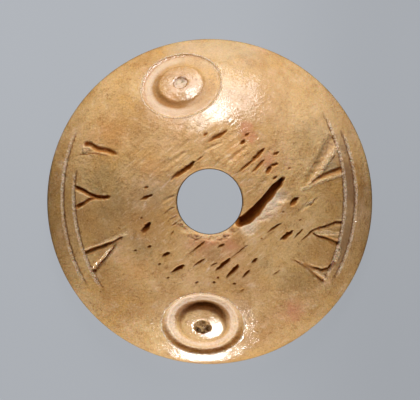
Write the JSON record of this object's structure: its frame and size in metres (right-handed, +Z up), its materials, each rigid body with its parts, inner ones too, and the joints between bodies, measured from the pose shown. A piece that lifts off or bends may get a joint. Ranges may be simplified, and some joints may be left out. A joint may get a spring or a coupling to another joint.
{
  "type": "bone spindle whorl",
  "caption": "Domed spindle whorl of carved bone with a straight central bore, ring-and-dot marks, curved border lines and V strokes on the dome, and a flat underside.",
  "frame": {"origin": "centre of the bore on the plane of the flat underside", "axes": "+Z up along the bore, from the flat underside to the dome; +Y towards the shallower of the ring-and-dot marks, the top of the picture; +X to the right of it"},
  "size_m": [0.038, 0.038, 0.0118],
  "materials": {
    "bone": "satin, polished by handling, tan with brown dirt in the carving and pores"
  },
  "bodies": {
    "root": {"whorl": "bone"}
  },
  "joints": []
}
